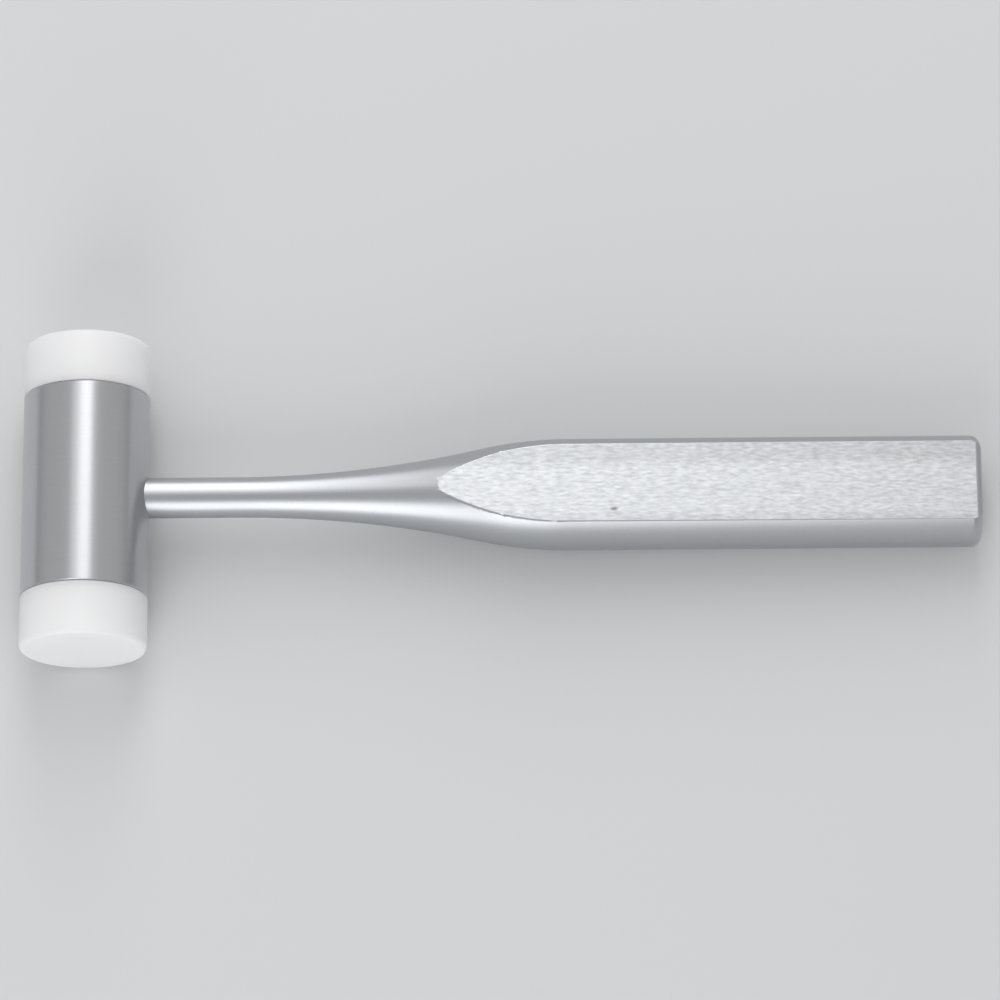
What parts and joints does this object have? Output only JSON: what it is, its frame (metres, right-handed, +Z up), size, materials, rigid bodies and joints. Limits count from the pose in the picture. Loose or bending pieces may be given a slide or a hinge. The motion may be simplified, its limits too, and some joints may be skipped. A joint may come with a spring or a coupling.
{
  "type": "surgical mallet",
  "caption": "Slim two-faced surgical mallet: steel barrel head with screw-in nylon striking caps, thin round neck flaring to a grip with flats.",
  "frame": {"origin": "on the table, under the middle of the outline of the mallet as it lies on its side", "axes": "+Z up, +X from the head towards the butt of the handle, +Y along the head's axis from the front cap to the back cap"},
  "size_m": [0.189, 0.0628, 0.025],
  "materials": {
    "turned_stainless_steel": "turned satin, grain round the barrel",
    "satin_aluminium": "bead blasted satin, with brushed flats on the grip",
    "white_nylon": "white nylon, turned and softly polished"
  },
  "bodies": {
    "mallet": {"head_barrel": "turned_stainless_steel", "handle": "satin_aluminium"},
    "front_cap": {"striking_cap_front": "white_nylon"},
    "back_cap": {"striking_cap_back": "white_nylon"}
  },
  "joints": [
    {"name": "front_cap_unscrew", "type": "slide", "parent": "mallet", "child": "front_cap", "axis": [0, -1, 0], "range_m": [0, 0.0105]},
    {"name": "back_cap_unscrew", "type": "slide", "parent": "mallet", "child": "back_cap", "axis": [0, 1, 0], "range_m": [0, 0.0105]}
  ]
}
